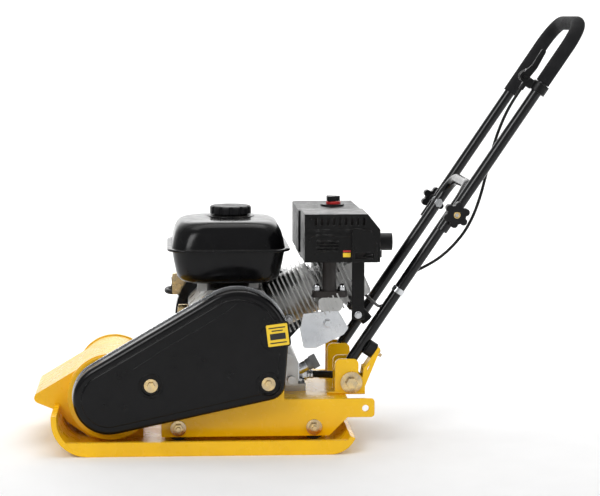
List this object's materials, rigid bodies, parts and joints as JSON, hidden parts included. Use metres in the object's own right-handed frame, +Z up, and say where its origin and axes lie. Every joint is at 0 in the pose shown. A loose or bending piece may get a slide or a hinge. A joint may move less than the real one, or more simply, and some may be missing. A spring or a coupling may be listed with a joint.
{
  "type": "plate compactor",
  "caption": "Forward plate compactor with a turned-up base plate, belt-driven exciter, petrol engine on a rubber-mounted deck and a folding tubular handle.",
  "frame": {"origin": "middle of the flat underside of the base plate", "axes": "+Z up, +X towards the operator's handle, -Y towards the belt side"},
  "size_m": [0.9072, 0.35, 0.7029],
  "materials": {
    "yellow_paint": "gloss",
    "black_paint": "gloss",
    "satin_black": "satin",
    "black_plastic": "matte",
    "zinc": "bright",
    "cast_aluminium": "cast",
    "steel": "turned",
    "cast_iron": "as cast",
    "rubber": "matte",
    "grip_foam": "matte foam",
    "filter_foam": "foam",
    "grey_plastic": "satin"
  },
  "bodies": {
    "chassis": {"base_plate": "yellow_paint", "exciter_housing": "yellow_paint", "exciter_covers": "yellow_paint", "exciter_bearings": "cast_aluminium", "drive_belt": "rubber", "rubber_mounts": "rubber", "mount_fasteners": "zinc", "engine_deck": "yellow_paint", "belt_guard": "black_paint", "guard_back_plate": "zinc", "flange_bolts": "zinc", "crankcase": "cast_aluminium", "crankcase_cover": "cast_aluminium", "cylinder": "cast_aluminium", "cylinder_head": "cast_aluminium", "valve_cover": "cast_aluminium", "spark_plug": "rubber", "fan_shroud": "black_paint", "recoil_cover": "black_paint", "muffler": "satin_black", "muffler_guard": "satin_black", "air_cleaner_base": "black_plastic", "air_filter": "filter_foam", "air_cleaner_cover": "black_plastic", "carburettor": "cast_aluminium", "fuel_tank": "black_paint", "lower_shroud": "zinc", "oil_neck": "zinc", "drain_hose": "rubber", "engine_controls": "zinc", "engine_fasteners": "zinc", "handle_bracket": "yellow_paint", "stop_buffer": "rubber", "bracket_fasteners": "zinc", "throttle_cable_lower": "rubber"},
    "exciter_rotor": {"exciter_shaft": "steel", "eccentric_weight": "cast_iron", "exciter_pulley": "steel"},
    "crank_rotor": {"crankshaft": "steel", "clutch_hub": "steel", "flywheel": "cast_iron"},
    "clutch_pulley": {"clutch_drum": "steel"},
    "engine_piston": {"piston": "cast_aluminium"},
    "recoil_wheel": {"recoil_pulley": "black_plastic"},
    "starter_pull": {"starter_grip": "black_plastic"},
    "choke": {"choke_lever": "black_plastic"},
    "fuel_tap": {"fuel_tap_lever": "black_plastic"},
    "stop_switch": {"engine_switch": "black_plastic"},
    "tank_cap": {"fuel_cap": "black_plastic"},
    "air_cleaner_nut": {"air_cleaner_knob": "black_plastic"},
    "oil_plug": {"oil_cap": "grey_plastic"},
    "lower_frame": {"lower_handle": "black_paint", "handle_fasteners": "zinc"},
    "upper_frame": {"upper_handle": "black_paint", "handle_grip": "grip_foam", "throttle_clamp": "satin_black", "throttle_cable_upper": "rubber"},
    "throttle": {"throttle_lever": "zinc"},
    "near_knob": {"star_knob_near": "black_plastic"},
    "far_knob": {"star_knob_far": "black_plastic"}
  },
  "joints": [
    {"name": "clutch_spin", "type": "hinge", "parent": "chassis", "child": "clutch_pulley", "pos_m": [0.056, -0.148, 0.187], "axis": [0, 1, 0], "continuous": true},
    {"name": "exciter_spin", "type": "hinge", "parent": "chassis", "child": "exciter_rotor", "pos_m": [-0.15, 0, 0.085], "axis": [0, 1, 0], "continuous": true},
    {"name": "crank_spin", "type": "hinge", "parent": "chassis", "child": "crank_rotor", "pos_m": [0.056, 0, 0.187], "axis": [0, 1, 0], "continuous": true},
    {"name": "piston_slide", "type": "slide", "parent": "chassis", "child": "engine_piston", "axis": [0.9063, 0, 0.4226], "range_m": [0, 0.044]},
    {"name": "starter_pull_slide", "type": "slide", "parent": "chassis", "child": "starter_pull", "axis": [-1, 0, 0], "range_m": [0, 0.5], "stiffness_N_per_m": 20, "springref_m": -0.3},
    {"name": "recoil_spin", "type": "hinge", "parent": "chassis", "child": "recoil_wheel", "pos_m": [0.056, 0.1425, 0.187], "axis": [0, -1, 0], "range_deg": [0, 625]},
    {"name": "choke_turn", "type": "hinge", "parent": "chassis", "child": "choke", "pos_m": [0.187, 0.1, 0.285], "axis": [0, 0, 1], "range_deg": [0, 60]},
    {"name": "fuel_tap_turn", "type": "hinge", "parent": "chassis", "child": "fuel_tap", "pos_m": [0.184, 0.088, 0.263], "axis": [0, 0, 1], "range_deg": [0, 60]},
    {"name": "stop_switch_rock", "type": "hinge", "parent": "chassis", "child": "stop_switch", "pos_m": [-0.0455, 0.098, 0.24], "axis": [0, -1, 0], "range_deg": [0, 16]},
    {"name": "tank_cap_turn", "type": "hinge", "parent": "chassis", "child": "tank_cap", "pos_m": [0.049, 0, 0.38], "axis": [0, 0, 1], "range_deg": [0, 90]},
    {"name": "air_cleaner_nut_turn", "type": "hinge", "parent": "chassis", "child": "air_cleaner_nut", "pos_m": [0.222, 0.018, 0.392], "axis": [0, 0, 1], "continuous": true},
    {"name": "oil_plug_turn", "type": "hinge", "parent": "chassis", "child": "oil_plug", "pos_m": [0.167, -0.054, 0.119], "axis": [0.8829, 0, 0.4695], "continuous": true},
    {"name": "handle_tilt", "type": "hinge", "parent": "chassis", "child": "lower_frame", "pos_m": [0.2452, 0, 0.1009], "axis": [0, -1, 0], "range_deg": [0, 10], "deforming": ["throttle_cable_lower"]},
    {"name": "handle_fold", "type": "hinge", "parent": "lower_frame", "child": "upper_frame", "pos_m": [0.41085, 0, 0.38211], "axis": [0, -1, 0], "range_deg": [0, 105]},
    {"name": "near_knob_turn", "type": "hinge", "parent": "lower_frame", "child": "near_knob", "pos_m": [0.41085, -0.12, 0.38211], "axis": [0, 1, 0], "continuous": true},
    {"name": "far_knob_turn", "type": "hinge", "parent": "lower_frame", "child": "far_knob", "pos_m": [0.41085, 0.12, 0.38211], "axis": [0, 1, 0], "continuous": true},
    {"name": "throttle_turn", "type": "hinge", "parent": "upper_frame", "child": "throttle", "pos_m": [0.52344, -0.099, 0.60525], "axis": [0, -1, 0], "range_deg": [-10, 35]}
  ],
  "couplings": [
    {"joint": "exciter_spin", "follows": "clutch_spin", "ratio": 1.325},
    {"joint": "recoil_spin", "follows": "starter_pull_slide", "rad_per_m": 21.739}
  ]
}
